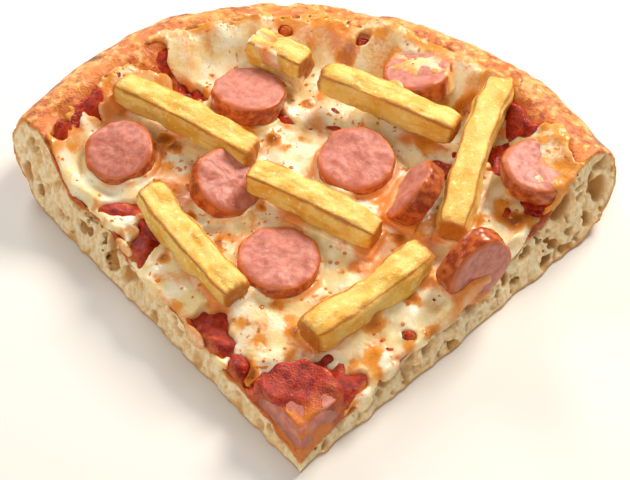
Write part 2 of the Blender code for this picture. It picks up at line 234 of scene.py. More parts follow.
def inside_cut(side, x, y, z):
    """How far a point lies inside one cut: -1 is the left one, 1 the right one."""
    square = -side * COS * x + SIN * (y - TIP_Y)
    along = side * SIN * x + COS * (y - TIP_Y)
    hump = np.exp(-(((along - SAG_DISTANCE) / SAG_LENGTH) ** 2) / 2)
    return square - LEAN * z - SAG * hump * np.clip(z / SAG_HEIGHT, 0, 1)


def dough_height(inset, crest):
    """The dough's top before it rolls over the crest."""
    flat = TIP_THICKNESS + THICKENING * (1 - np.exp(-plan_distance / THICKENING_LENGTH))
    climb = np.clip((RIM_WIDTH - inset) / SLOPE_WIDTH, 0, 1)
    return flat + (crest - flat) * (0.5 - 0.5 * np.cos(math.pi * climb))


crest = CREST_HEIGHT - 0.8 * np.sin(plan_angle) + 0.55 * flat_lumps(16, 11) + 0.25 * flat_lumps(7, 12)
top_plan = dough_height(plan_inset, crest)
left_cut, right_cut = inside_cut(-1, X, Y, Z), inside_cut(1, X, Y, Z)
print("dough is", round(float(top_plan.max()), 1), "mm high at the rim")

# %% [markdown]
# ### Where the toppings lie
#
# The fields need to know where the toppings are, because cheese creeps up them. Each slice has
# the centre of its upper face, its diameter, its thickness, how far it leans and the compass
# direction that it leans to. A fry has the two ends of its middle line and its sideways bend.

# %% Toppings
SLICES = (
    ((-22.9, 40.4, 25.6), 23.3, 7.5, 9.0, 48.6),
    ((-60.5, 13.2, 24.0), 21.6, 7.0, 16.0, -112.0),
    ((-25.5, 2.6, 23.0), 22.0, 6.5, 33.0, -20.0),
    ((11.6, 15.5, 21.5), 24.0, 7.0, 8.8, -86.0),
    ((29.6, 48.6, 28.8), 21.7, 7.0, 9.0, 150.0),
    ((26.9, 2.4, 23.0), 21.1, 7.5, 57.3, 163.7),
    ((-9.3, -23.2, 19.9), 24.4, 7.0, 1.9, 0.0),
    ((48.6, -27.1, 20.6), 22.1, 7.5, 86.0, -54.4),
    ((66.0, 11.0, 26.0), 21.4, 7.0, 6.0, -30.0),
    ((-0.9, -69.8, 14.8), 23.5, 5.5, 12.0, -90.0),
)
FRIES = (
    ((-62.8, 36.8, 27.0), (-19.3, 12.7, 23.4), 1.0),
    ((-48.9, -3.2, 22.2), (-20.0, -38.2, 19.6), -0.8),
    ((-19.5, 3.7, 24.4), (18.9, -14.8, 20.8), 0.9),
    ((1.1, 44.8, 26.8), (42.0, 26.2, 23.5), 0.6),
    ((56.5, 44.2, 27.0), (40.3, -13.0, 21.4), -1.4),
    ((32.2, -21.5, 20.8), (0.8, -50.0, 18.4), 0.7),
    ((-23.0, 58.6, 27.4), (-5.5, 49.2, 26.6), 0.4),
)
FRY_WIDTH = 9.6
TIP_SLICE = 10
GLAZED_SLICES, GLAZED_FRIES = (5, 9), (7,)  # melted cheese ran over these


def slice_turn(lean, towards):
    """The turn of a slice that leans this many degrees, that way."""
    return Euler((0, math.radians(lean), math.radians(towards)))


def fry_axes(start, end):
    """Directions along, sideways and up of a fry, as the columns of a turn."""
    along = (Vector(end) - Vector(start)).normalized()
    side = Vector((0, 0, 1)).cross(along).normalized()
    return Matrix((along, side, along.cross(side))).transposed()


def near(centre, reach):
    """The part of the block within reach of a point."""
    ranges = []
    for axis, middle in zip(AXES, centre):
        low, high = np.searchsorted(axis, (middle - reach, middle + reach))
        ranges.append(slice(low, high))
    return tuple(ranges)


def local_points(window, centre, turn):
    """Points of a window seen from a piece with this centre and turn."""
    x, y, z = X[window[0]], Y[:, window[1]], Z[:, :, window[2]]
    offset = [x - centre[0], y - centre[1], z - centre[2]]
    return [sum(turn[row][k] * offset[row] for row in range(3)) for k in range(3)]


def box_distance(sizes):
    """Distance outside a form whose overshoot along each way is given."""
    outside = np.sqrt(sum(np.maximum(size, 0) ** 2 for size in sizes))
    inner = sizes[0]
    for size in sizes[1:]:
        inner = np.maximum(inner, size)
    return outside + np.minimum(inner, 0)


FAR = 50.0
gaps = [np.full((len(AXES[0]), len(AXES[1]), len(AXES[2])), FAR, np.float32) for _ in range(2)]
for number, (centre, diameter, thickness, lean, towards) in enumerate(SLICES, 1):
    window = near(centre, diameter / 2 + 11)
    x, y, z = local_points(window, centre, slice_turn(lean, towards).to_matrix())
    distance = box_distance([np.hypot(x, y) - diameter / 2, np.abs(z + thickness / 2) - thickness / 2])
    kind = 1 if number in GLAZED_SLICES else 0
    gaps[kind][window] = np.minimum(gaps[kind][window], distance)
for number, (start, end, bend) in enumerate(FRIES, 1):
    centre = (Vector(start) + Vector(end)) / 2
    length = (Vector(end) - Vector(start)).length
    window = near(centre, length / 2 + 9)
    x, y, z = local_points(window, centre, fry_axes(start, end))
    half = FRY_WIDTH / 2
    distance = box_distance([np.abs(x) - length / 2, np.abs(y) - half, np.abs(z) - half])
    kind = 1 if number in GLAZED_FRIES else 0
    gaps[kind][window] = np.minimum(gaps[kind][window], distance)
bare_gap, glazed_gap = gaps
print("points inside toppings:", int((np.minimum(bare_gap, glazed_gap) < 0).sum()))

# %% [markdown]
# ### Patches
#
# Sauce shows where the cheese drew back, the cheese browned where it rose into blisters, and the
# rim charred in places. Each patch has a place, a length, a width and, for sauce, a turn. Its
# edge is then broken up with noise.

# %% Patches on the plan
SAUCE_PATCHES = (
    (-72, 30, 10, 7.5, 0), (-44, 46, 12, 6, -15), (-54, 53, 9, 4, 30), (-79, 18, 4, 6, 30),
    (-57, -4, 10, 4, 5), (-50, -16, 5, 11, 5), (-25, -47, 11, 9, -45), (-18, -56, 5, 6, 0),
    (12, -60, 9, 7, 20), (28, -45, 3.5, 3, 0), (38, 15, 8, 7, 40), (65, 31, 13, 9, -20),
    (55, 20, 6, 9, -20), (78, 15, 5, 9, 30), (71, 4, 5, 6, 0), (12, 63, 3.2, 2.4, 0),
    (-13, 66, 3.2, 2.4, 0), (-37, 7, 3, 7, 0), (-12, 36, 12, 3, -20), (42, 5, 3, 7, 0),
)
BROWN_SPOTS = (
    (-48, 24, 4, 3), (-44, 19, 3, 3), (-14, 26, 3.8, 3.4), (-6, 27, 3.4, 3.2), (8, 60, 6, 5),
    (45, 40, 7, 5), (60, -3, 7, 5.5), (19, -42, 8, 5), (9, -25, 4.5, 3.5), (28, -33, 4, 3.5),
    (-10, -37, 3.6, 3), (-43, -23, 3, 3.4), (-3, -45, 5, 5), (-58, 40, 4, 3), (24, -12, 4, 4),
    (43, -16, 5, 6), (-27, -17, 3.5, 6.5), (6, -34, 4.5, 3), (-15, -58, 6, 3.5),
    (-37, -6, 4.2, 3.4), (-5, 43, 4, 3), (-16, -2, 3, 3),
)
RIM_CHARS = (
    (-64, 61, 10, 4), (-87, 37, 6, 4), (-29, 76, 13, 3.5), (22, 77, 12, 5), (48, 68, 9, 4),
    (64, 56, 7, 5), (75, 37, 7, 8), (-49, 70, 9, 3.5), (-9, 80, 9, 3), (85, 22, 5, 8), (-75, 47, 7, 4),
)
ragged = 0.30 * flat_lumps(5.0, 21) + 0.22 * flat_lumps(2.4, 22) + 0.12 * flat_lumps(1.2, 23)


def patches(rows, softness, roughness=1.0):
    """How strongly a place belongs to one of the patches, from 0 to 1."""
    plan = np.zeros_like(plan_inset)
    for x, y, length, width, *turn in rows:
        angle = math.radians(turn[0]) if turn else 0.0
        right = (plan_x - x) * math.cos(angle) + (plan_y - y) * math.sin(angle)
        ahead = (plan_y - y) * math.cos(angle) - (plan_x - x) * math.sin(angle)
        radius = np.hypot(right / (length / 2), ahead / (width / 2))
        plan = np.maximum(plan, 1 - smooth_step(1 - softness, 1 + softness, radius + roughness * ragged))
    return plan


pool_plan = patches(SAUCE_PATCHES, 0.35)
spot_plan = patches(BROWN_SPOTS, 0.75, 0.8)
char_plan = patches(RIM_CHARS, 0.8, 1.6)
print("share of sauce patches:", round(float(pool_plan[plan_inset > 0].mean()), 3))

# %% [markdown]
# ## Drawing a field as a mesh
#
# OpenVDB walks through the block and places a face wherever the number changes sign. A bubble
# that lies wholly inside gives a loose skin that nobody sees, so only the largest skin is kept.
# What was worked out on the plan or in the block, such as how brown a place is, is then read at
# each point and stored on it, for the material to use.

# %% From a field to a mesh
def largest_skin(count, faces):
    """Marks the points of the largest connected skin."""
    label = np.arange(count)
    ends = np.concatenate([faces[:, [k, (k + 1) % faces.shape[1]]] for k in range(faces.shape[1])])
    while True:
        lowest = np.minimum(label[ends[:, 0]], label[ends[:, 1]])
        before = label.copy()
        np.minimum.at(label, ends[:, 0], lowest)
        np.minimum.at(label, ends[:, 1], lowest)
        label = label[label]
        if (label == before).all():
            return label == np.bincount(label).argmax()


def read_at(values, points):
    """Values of a plan or a block at points, between its own points."""
    result = 0.0
    places = [(points[:, k] - AXES[k][0]) / VOXEL for k in range(values.ndim)]
    cells = [np.clip(p.astype(int), 0, values.shape[k] - 2) for k, p in enumerate(places)]
    parts = [np.clip(p - cell, 0, 1) for p, cell in zip(places, cells)]
    for corner in range(2**values.ndim):
        bits = [corner >> k & 1 for k in range(values.ndim)]
        weight = 1.0
        for bit, part in zip(bits, parts):
            weight = weight * (part if bit else 1 - part)
        result = result + weight * values[tuple(cell + bit for cell, bit in zip(cells, bits))]
    return result


MOST_TRIANGLES = 195000


def piece_from_field(name, field, material, looks, simplify):
    """A closed piece at the field's skin, with one attribute for each look."""
    grid = openvdb.FloatGrid(VOXEL)
    grid.copyFromArray(-field)
    points, triangles, quads = grid.convertToPolygons(isovalue=0.0, adaptivity=simplify)
    quads = np.concatenate([quads[:, [0, 1, 2]], quads[:, [0, 2, 3]]])
    faces = np.concatenate([triangles.reshape(-1, 3), quads]).astype(np.int64)
    keep = largest_skin(len(points), faces)
    renumber = np.cumsum(keep) - 1
    faces = renumber[faces[keep[faces[:, 0]]]]
    points = points[keep] * VOXEL + np.array(BLOCK_LOW)
    corners = points[faces]
    if np.einsum("ij,ij->i", corners[:, 0], np.cross(corners[:, 1], corners[:, 2])).sum() < 0:
        faces = faces[:, ::-1]
    mesh = bpy.data.meshes.new(name)
    mesh.vertices.add(len(points))
    mesh.vertices.foreach_set("co", (points * MM).astype(np.float32).ravel())
    mesh.loops.add(faces.size)
    mesh.loops.foreach_set("vertex_index", faces.astype(np.int32).ravel())
    mesh.polygons.add(len(faces))
    mesh.polygons.foreach_set("loop_start", np.arange(0, faces.size, 3, dtype=np.int32))
    mesh.update(calc_edges=True)
    mesh.validate()
    piece = link(name, mesh)
    if len(faces) > MOST_TRIANGLES:
        thin_out(piece, MOST_TRIANGLES / len(faces))
        mesh = piece.data
        points = np.zeros(len(mesh.vertices) * 3, np.float32)
        mesh.vertices.foreach_get("co", points)
        points = points.reshape(-1, 3) / MM
    for look, values in looks.items():
        attribute = mesh.attributes.new(look, "FLOAT", "POINT")
        attribute.data.foreach_set("value", read_at(values, points).astype(np.float32))
    mesh.shade_smooth()
    mesh.materials.append(material)
    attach(piece, "root")
    print(name, "has", len(mesh.polygons), "triangles")
    return piece


def thin_out(piece, ratio):
    """Leaves this share of the faces, fewest where the surface is flat."""
    modifier = piece.modifiers.new("thin_out", "DECIMATE")
    modifier.ratio = ratio
    evaluated = piece.evaluated_get(bpy.context.evaluated_depsgraph_get())
    mesh = bpy.data.meshes.new_from_object(evaluated)
    piece.modifiers.clear()
    piece.data = mesh


# %% [markdown]
# ## Finishes
#
# Wet and oily food lets light in a little way, so its colours glow and its edges soften. That is
# subsurface scattering: about 1 mm deep in cheese and crumb, and less in meat and potato. Each
# finish mixes a few colours by noise at real sizes, and by the looks stored on the mesh.

# %% Material helpers
def new_material(name, roughness, depth, spread, ior=1.45):
    """A Principled material; depth is how far light travels in it, in mm."""
    material = bpy.data.materials.new(name)
    material.use_nodes = True
    shader = material.node_tree.nodes["Principled BSDF"]
    shader.inputs["Roughness"].default_value = roughness
    shader.inputs["IOR"].default_value = ior
    shader.inputs["Subsurface Weight"].default_value = 1.0
    shader.inputs["Subsurface Scale"].default_value = depth * MM
    shader.inputs["Subsurface Radius"].default_value = spread
    return material, material.node_tree, shader


def vector(tree, operation, one, other):
    """Vector maths. The second value of SCALE is a plain number."""
    key = "Scale" if operation == "SCALE" else 1
    return add(tree, "ShaderNodeVectorMath", {0: one, key: other}, operation=operation).outputs[0]


def noise_at(tree, where, size, detail=3.0, stretch=(1.0, 1.0, 1.0)):
    """Noise from 0 to 1 whose patches are about this many mm across."""
    inputs = {"Vector": vector(tree, "MULTIPLY", where, stretch), "Scale": 1 / (size * MM), "Detail": detail}
    return add(tree, "ShaderNodeTexNoise", inputs).outputs["Fac"]


def ranged(tree, value, low, high, to_low=0.0, to_high=1.0):
    """A smooth step from one number to another, as the value goes from low to high."""
    inputs = {"Value": value, "From Min": low, "From Max": high, "To Min": to_low, "To Max": to_high}
    return add(tree, "ShaderNodeMapRange", inputs, interpolation_type="SMOOTHSTEP").outputs[0]


def mixed(tree, share, one, other):
    """One colour turning into the other as share goes from 0 to 1."""
    inputs = {0: share}
    for key, colour in ((6, one), (7, other)):
        inputs[key] = linear(colour) if isinstance(colour, str) else colour
    return add(tree, "ShaderNodeMix", inputs, data_type="RGBA").outputs[2]


def combined(tree, operation, one, other):
    """Maths on two numbers."""
    return add(tree, "ShaderNodeMath", {0: one, 1: other}, operation=operation).outputs[0]


def summed(tree, *terms):
    """A sum. Each term is a value, or a value and what to multiply it by."""
    total = None
    for term in terms:
        part = combined(tree, "MULTIPLY", *term) if isinstance(term, tuple) else term
        total = part if total is None else combined(tree, "ADD", total, part)
    return total


def bumped(tree, height, depth):
    """A normal from a height between 0 and 1 that stands for this many mm."""
    inputs = {"Height": height, "Distance": depth * MM, "Strength": 1.0}
    return add(tree, "ShaderNodeBump", inputs).outputs[0]


def connect(tree, shader, **sockets):
    """Links values to the shader's inputs, named with _ for each space."""
    for name, value in sockets.items():
        tree.links.new(value, shader.inputs[name.replace("_", " ")])


def look(tree, name):
    """A look that was stored on the mesh."""
    return add(tree, "ShaderNodeAttribute", attribute_name=name).outputs["Fac"]


# %% [markdown]
# ### Baked dough
#
# One material runs from the pale crumb to the crust. The crust is golden with orange and dark
# blisters, because sugars brown where it is thin and hot. The crumb is cream-coloured, and
# painted shade makes it warmer and darker deep in a bubble.

# %% Dough finish
def make_dough_finish():
    material, tree, shader = new_material("baked_bread_dough", 0.62, depth=1.0, spread=(1.0, 0.8, 0.55))
    where = add(tree, "ShaderNodeTexCoord").outputs["Object"]
    blotch = noise_at(tree, where, 9.0, 4.0)
    mottle = noise_at(tree, where, 2.6, 4.0)
    grain = noise_at(tree, where, 0.7, 3.0)
    gold = mixed(tree, ranged(tree, blotch, 0.36, 0.62), "#e6963c", "#c96c1e")
    gold = mixed(tree, ranged(tree, mottle, 0.50, 0.66), gold, "#f1bd72")
    gold = mixed(tree, ranged(tree, mottle, 0.46, 0.34), gold, "#a84e16")
    speck = summed(tree, (look(tree, "char"), 0.55), grain, (mottle, 0.5))
    gold = mixed(tree, ranged(tree, speck, 1.04, 1.42), gold, "#64300f")
    stain = combined(tree, "MULTIPLY", look(tree, "stain"), ranged(tree, mottle, 0.3, 0.6, 0.35, 0.9))
    gold = mixed(tree, stain, gold, "#cb6322")
    gold = mixed(tree, combined(tree, "MULTIPLY", look(tree, "under"), 0.8), gold, "#b97a3a")
    pore = noise_at(tree, where, 1.5, 3.0, (1.0, 1.0, 0.6))
    crumb = mixed(tree, ranged(tree, pore, 0.35, 0.62), "#e9c98f", "#f8e6c2")
    # Painted shade: the crumb turns warmer and darker the deeper it lies behind the cut, in a bubble.
    crumb = mixed(tree, ranged(tree, look(tree, "hollow"), 0.5, 3.6), crumb, "#cd9c58")
    crust = look(tree, "crust")
    crust_share = summed(tree, crust, (grain, 0.35))
    colour = mixed(tree, ranged(tree, crust_share, 0.30, 0.85), crumb, "#dcae68")
    colour = mixed(tree, ranged(tree, crust_share, 0.72, 1.1), colour, gold)
    connect(
        tree, shader,
        Base_Color=colour,
        Normal=bumped(tree, summed(tree, grain, (pore, 1.4)), 0.28),
        Subsurface_Weight=ranged(tree, crust, 0.3, 1.0, 1.0, 0.15),
        Roughness=ranged(tree, crust, 0.4, 1.0, 0.74, 0.42),
    )
    return material


dough_finish = make_dough_finish()
print("nodes in the dough's finish:", len(dough_finish.node_tree.nodes))

# %% [markdown]
# ### Dough
#
# The rim rolls over in two quarter ellipses, a low wide one beneath and a high narrow one on
# top. Where the knife opened the crumb, bubbles show: a few large ones, and hundreds of small
# ones whose sizes follow a steep curve, as in real bread. They stop short of the crust.

# %% Dough field
def quarter_ellipse(inset, reach, rise):
    """0 on a quarter ellipse that reaches this far in, 1 at its centre. rise goes from 0 to 1."""
    return 1 - np.hypot((reach - inset) / reach, rise)


def make_crust_depth():
    """Depth below the crust, before the knife: the rim's two curves, the sloping top, the base."""
    inset = (plan_inset + 0.45 * flat_lumps(9, 13))[:, :, None]
    heel = quarter_ellipse(inset, HEEL_IN, (BULGE_HEIGHT - Z) / BULGE_HEIGHT) * BULGE_HEIGHT
    upper = (Z - BULGE_HEIGHT) / (crest[:, :, None] - BULGE_HEIGHT)
    roll = quarter_ellipse(inset, CREST_IN, upper) * CREST_IN
    roof = (top_plan[:, :, None] - Z) * steepness
    low_rim = np.where((inset < HEEL_IN) & (Z < BULGE_HEIGHT), heel, FAR)
    high_rim = np.where((inset < CREST_IN) & (Z >= BULGE_HEIGHT), roll, FAR)
    roof = np.where((inset >= CREST_IN) | (Z < BULGE_HEIGHT), roof, FAR)
    blister = 0.34 * lumps(6.0, 14) + 0.20 * lumps(2.6, 15) + 0.10 * lumps(1.4, 16)
    depth = np.minimum(np.minimum(low_rim, high_rim), roof) + blister * np.clip(Z / 6, 0, 1)
    return np.minimum(depth, Z)


def make_cut_depth():
    """Depth behind the two cuts, whose crumb is torn into soft ridges and pits."""
    torn = 0.36 * lumps(4.0, 31, (1, 1, 1.7)) + 0.16 * lumps(1.6, 32, (1, 1, 1.6))
    pits = 1.5 * np.maximum(lumps(2.0, 33, (1, 1, 1.5)) - 0.75, 0)
    return knife_depth - 0.35 + torn - pits * (crust_depth > 1.0)


slope_x, slope_y = np.gradient(top_plan, VOXEL)
steepness = (1 / np.sqrt(1 + slope_x**2 + slope_y**2))[:, :, None]
knife_depth = np.minimum(left_cut, right_cut)
crust_depth = make_crust_depth()
dough_field = np.minimum(crust_depth, make_cut_depth())
print("dough holds", round(float((dough_field > 0).sum()) * VOXEL**3 / 1000), "cm3")

# %% Bubbles in the crumb
BUBBLES = (  # side, along the cut, height, length, height and depth of the bubble
    (-1, 102.6, 15.0, 8.5, 9.5, 5.0), (-1, 132.0, 21.0, 5.0, 4.5, 4.5), (-1, 128.0, 20.0, 3.5, 7.0, 2.5),
    (-1, 56.0, 6.5, 6.0, 3.0, 3.0), (-1, 88.0, 6.5, 5.0, 3.6, 2.5), (-1, 122.8, 10.6, 3.6, 3.4, 2.5),
    (-1, 128.5, 11.4, 3.2, 3.0, 2.5), (-1, 91.5, 10.5, 3.6, 2.8, 2.2), (-1, 28.0, 4.2, 5.0, 3.2, 2.5),
    (1, 111.9, 18.0, 10.0, 12.5, 6.0), (1, 128.5, 14.5, 8.0, 10.0, 5.5), (1, 122.0, 6.5, 5.5, 4.6, 4.0),
    (1, 114.0, 7.5, 3.6, 3.0, 2.5), (1, 107.0, 6.0, 4.6, 3.6, 3.0), (1, 85.0, 8.0, 4.4, 5.4, 4.0),
    (1, 81.0, 6.0, 3.0, 3.6, 2.5), (1, 45.0, 7.4, 5.0, 3.6, 3.0), (1, 26.0, 4.9, 4.4, 2.8, 2.5),
)
SMALL_BUBBLES = 520
rng = np.random.default_rng(7)


def random_bubbles():
    """Rows like those above, most of them small and the larger ones near the rim."""
    rows = []
    for _ in range(SMALL_BUBBLES):
        side = rng.choice((-1, 1))
        along = rng.uniform(8, 140)
        height = rng.uniform(1.2, 12.0 + 13.0 * (along > 108))
        size = min(1.0 + rng.pareto(2.2) * 0.75, 4.2) * (0.75 + along / 260)
        length = size * rng.uniform(0.8, 1.6)
        rows.append((side, along, height, length, size * rng.uniform(0.8, 1.5), size))
    return rows


def cut_point(side, along, height):
    """The point of a cut this far along it and this high."""
    inward = LEAN * height + SAG * math.exp(-(((along - SAG_DISTANCE) / SAG_LENGTH) ** 2) / 2)
    return side * SIN * along - side * COS * inward, TIP_Y + COS * along + SIN * inward, height


def oval_distance(window, side, place, length, tall, deep):
    """Distance from a place on a cut, as a share of an oval of this size: 1 on its skin."""
    x, y, z = X[window[0]] - place[0], Y[:, window[1]] - place[1], Z[:, :, window[2]] - place[2]
    along = side * SIN * x + COS * y
    into = -side * COS * x + SIN * y
    return np.sqrt((along * 2 / length) ** 2 + (z * 2 / tall) ** 2 + (into / deep) ** 2)


def carve(rows):
    """Hollows the dough at each bubble, but leaves its crust whole."""
    for side, along, height, length, tall, deep in rows:
        place = cut_point(side, along, height)
        window = near(place, max(length, tall, deep) / 2 + 2)
        if 0 in dough_field[window].shape:
            continue
        distance = oval_distance(window, side, place, length, tall, deep)
        hollow = (distance - 1) * min(length, tall) / 2
        wall = np.maximum(hollow, 1.0 - crust_depth[window])
        dough_field[window] = np.minimum(dough_field[window], wall)


carve(BUBBLES)
carve(random_bubbles())
print("bubbles:", len(BUBBLES) + SMALL_BUBBLES)

# %% Dough piece
dough_looks = {
    "crust": np.clip(1.25 - crust_depth / 1.3, 0, 1),
    "under": np.clip(1.6 - np.broadcast_to(Z, crust_depth.shape), 0, 1),
    # hollow: depth behind the cut, which the finish uses for painted shade in the bubbles
    "hollow": knife_depth,
    "char": char_plan,
    "stain": smooth_step(8, 17, plan_inset + 6 * ragged),
}
dough = piece_from_field("dough_with_rim", dough_field, dough_finish, dough_looks, simplify=0.02)
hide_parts("dough")

# %% [markdown]
# ### Tomato sauce
#
# Cooked tomato sauce is a thick red paste with pulp in it. It is wet, so it mirrors the light
# sharply, and its thin edges look brighter than its deep middle.

# %% Sauce finish
def make_sauce_finish():
    material, tree, shader = new_material("cooked_tomato_sauce", 0.16, depth=0.4, spread=(1.0, 0.3, 0.15))
    where = add(tree, "ShaderNodeTexCoord").outputs["Object"]
    pulp = noise_at(tree, where, 2.4, 4.0)
    fine = noise_at(tree, where, 0.6, 3.0)
    colour = mixed(tree, ranged(tree, pulp, 0.36, 0.56), "#8f1806", "#bd330d")
    colour = mixed(tree, ranged(tree, pulp, 0.58, 0.74), colour, "#da661e")
    colour = mixed(tree, ranged(tree, fine, 0.36, 0.22), colour, "#4f0804")
    oil = summed(tree, look(tree, "oil"), (pulp, 0.5))
    colour = mixed(tree, ranged(tree, oil, 0.5, 1.2, 0.0, 0.85), colour, "#e0882a")
    connect(
        tree, shader,
        Base_Color=colour,
        Normal=bumped(tree, summed(tree, pulp, fine), 0.45),
        Roughness=ranged(tree, fine, 0.3, 0.7, 0.08, 0.26),
    )
    return material


sauce_finish = make_sauce_finish()
print("nodes in the sauce's finish:", len(sauce_finish.node_tree.nodes))

# %% Sauce field
pulp_plan = 0.60 * flat_lumps(3.2, 51) + 0.32 * flat_lumps(1.7, 52)
tip_share = 1 - smooth_step(18, 28, plan_distance)
sauce_thickness = 1.0 + pulp_plan + 1.9 * pool_plan + 0.9 * tip_share
sauce_edge = smooth_step(15.0, 19.0, plan_inset + 1.6 * ragged)
sauce_plan = top_plan + sauce_thickness * sauce_edge - 1.2 * (1 - sauce_edge)
sauce_roof = (sauce_plan[:, :, None] - Z) * steepness
sauce_floor = (Z - top_plan[:, :, None] + 0.4) * steepness
sauce_cut = knife_depth + 0.1 + 0.35 * lumps(3.0, 53)
sauce_field = np.minimum(np.minimum(sauce_roof, sauce_floor), sauce_cut)
print("sauce is up to", round(float(sauce_thickness.max()), 1), "mm thick")

# %% Sauce over the slice at the tip
centre, diameter, thickness, lean, towards = SLICES[TIP_SLICE - 1]
window = near(centre, diameter / 2 + 6)
x, y, z = local_points(window, centre, slice_turn(lean, towards).to_matrix())
tip_gap = box_distance([np.hypot(x, y) - diameter / 2, np.abs(z + thickness / 2) - thickness / 2])
coat = 0.85 + 0.34 * lumps(5.0, 54)[window] + 0.46 * lumps(2.4, 55)[window] - tip_gap
coat = np.minimum(coat, sauce_cut[window])
sauce_field[window] = join(sauce_field[window], coat, 1.0)
sauce_field = np.minimum(sauce_field, sauce_cut)
print("sauce lies up to", round(float(coat.max()), 1), "mm inside its skin at the tip")

# %% Sauce piece
edge_plan = np.minimum(*(inside_cut(side, plan_x, plan_y, top_plan) for side in (-1, 1)))
sauce_oil = 0.85 * (1 - smooth_step(5, 13, plan_distance)) + 0.55 * (1 - smooth_step(0.5, 3.0, edge_plan))
sauce_oil = sauce_oil + 0.25 * np.maximum(flat_lumps(3.0, 56), 0)
sauce = piece_from_field("tomato_sauce", sauce_field, sauce_finish, {"oil": sauce_oil}, simplify=0.03)
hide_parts("sauce")

# %% [markdown]
# ### Melted cheese
#
# Melted mozzarella is ivory and glossy. It thins out at its edges, stands up round whatever lies
# in it, and hangs over the cut where the knife pulled it. Its blisters bake golden, then brown,
# and orange oil gathers round them and along the sauce. Right next to the toppings it turns
# orange too: partly oil that gathers there, partly painted shade where the cheese meets them.

# %% Cheese finish
def make_cheese_finish():
    material, tree, shader = new_material("melted_mozzarella", 0.22, depth=1.4, spread=(1.0, 0.82, 0.6))
    where = add(tree, "ShaderNodeTexCoord").outputs["Object"]
    cloud = noise_at(tree, where, 7.0, 3.0)
    fine = noise_at(tree, where, 1.1, 3.0)
    colour = mixed(tree, ranged(tree, cloud, 0.38, 0.62), "#f2dda6", "#faf0d6")
    # Next to a topping the colour moves towards orange: partly oil, partly painted shade where the cheese
    # meets it.
    oil = summed(tree, look(tree, "oil"), (fine, 0.5), ranged(tree, look(tree, "gap"), 0.4, 2.6, 0.36, 0.0))
    colour = mixed(tree, ranged(tree, oil, 0.46, 1.15, 0.0, 0.9), colour, "#e3882a")
    dots = ranged(tree, noise_at(tree, where, 1.9, 1.0), 0.60, 0.72)
    dots = combined(tree, "MULTIPLY", dots, ranged(tree, cloud, 0.50, 0.62, 0.0, 0.55))
    brown = summed(tree, look(tree, "brown"), (fine, 0.45), dots)
    colour = mixed(tree, ranged(tree, brown, 0.34, 0.72), colour, "#e59a3a")
    colour = mixed(tree, ranged(tree, brown, 0.70, 1.16), colour, "#bd6c20")
    colour = mixed(tree, ranged(tree, brown, 1.14, 1.40), colour, "#945218")
    connect(
        tree, shader,
        Base_Color=colour,
        Normal=bumped(tree, summed(tree, fine, cloud), 0.22),
        Subsurface_Weight=ranged(tree, brown, 0.5, 1.1, 1.0, 0.1),
        Roughness=ranged(tree, fine, 0.3, 0.7, 0.16, 0.36),
    )
    return material


cheese_finish = make_cheese_finish()
print("nodes in the cheese's finish:", len(cheese_finish.node_tree.nodes))

# %% Cheese field
HIGHEST = 31.7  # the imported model's own height
cheese_lumps = 0.60 * flat_lumps(10, 41) + 0.45 * flat_lumps(4.2, 42) + 0.22 * flat_lumps(1.9, 43)
rim_fade = smooth_step(12.5, 21.0, plan_inset + 2.4 * ragged + 1.2 * flat_lumps(9, 44))
tip_start = 22 + 1.5 * np.sin(5 * plan_angle + 1) - 4 * np.sin(plan_angle) + 5.0 * ragged
tip_fade = smooth_step(-2.0, 5.0, plan_distance - tip_start)
# It thins out at the rim and the tip, rises into blisters and draws back from the pools.
cheese_thickness = (2.9 + cheese_lumps) * np.minimum(rim_fade, tip_fade) + 0.9 * spot_plan
cheese_thickness = cheese_thickness - 4.4 * pool_plan - 0.5
cheese_plan = top_plan + 1.0 + cheese_thickness
plan_block = cheese_plan[:, :, None]
cheese_cut = knife_depth + 0.5 + 0.75 * lumps(6.0, 45) + 0.3 * lumps(2.2, 46)
cheese_field = np.minimum((plan_block - Z) * steepness, (Z - top_plan[:, :, None] - 0.5) * steepness)
cheese_field = np.minimum(cheese_field, cheese_cut)
print("cheese is up to", round(float(cheese_thickness.max()), 1), "mm thick")

# %% Cheese round the toppings and over them
all_gaps = np.minimum(bare_gap, glazed_gap)
wet = np.minimum(cheese_thickness, 2.0)[:, :, None]  # no creep where the cheese drew back
creep = np.minimum(np.minimum(0.7 - all_gaps, plan_block + 1.5 - Z), wet)
cheese_field = join(cheese_field, np.minimum(creep, cheese_cut), 1.8)
# A film over the glazed toppings, with holes where the lumps are low.
glaze = 0.62 * lumps(6.0, 47) + 0.30 * lumps(2.4, 48) - 0.30 - glazed_gap
glaze = np.minimum(np.minimum(glaze, cheese_cut), np.minimum(Z - top_plan[:, :, None], HIGHEST - Z))
cheese_field = join(cheese_field, glaze, 1.2)
print("glazed toppings:", len(GLAZED_SLICES) + len(GLAZED_FRIES))

# %% Cheese that hangs over the cuts
DRIPS = (  # side, along the cut, height of its top, width along the cut, fall, thickness
    (1, 25.5, 10.0, 6.5, 5.5, 1.6), (1, 36.0, 12.0, 8.0, 3.5, 1.2), (1, 60.0, 14.0, 10.0, 4.0, 1.2),
    (1, 92.0, 18.0, 8.0, 4.5, 1.3), (-1, 48.0, 13.0, 9.0, 4.5, 1.3), (-1, 66.0, 15.0, 8.0, 5.0, 1.4),
    (-1, 38.0, 11.0, 6.0, 3.0, 1.0), (-1, 84.0, 17.0, 8.0, 3.0, 1.0),
)
for side, along, height, width, fall, thick in DRIPS:
    place = cut_point(side, along, height - fall / 2)
    window = near(place, max(width, fall) / 2 + 4)
    distance = oval_distance(window, side, place, width, fall + 3, thick)
    cheese_field[window] = join(cheese_field[window], (1 - distance) * thick, 1.0)
print("drips:", len(DRIPS))

# %% Cheese piece
def flecks(size, seed):
    """Lumps on the plan, without what lies below 0."""
    return np.maximum(flat_lumps(size, seed), 0)


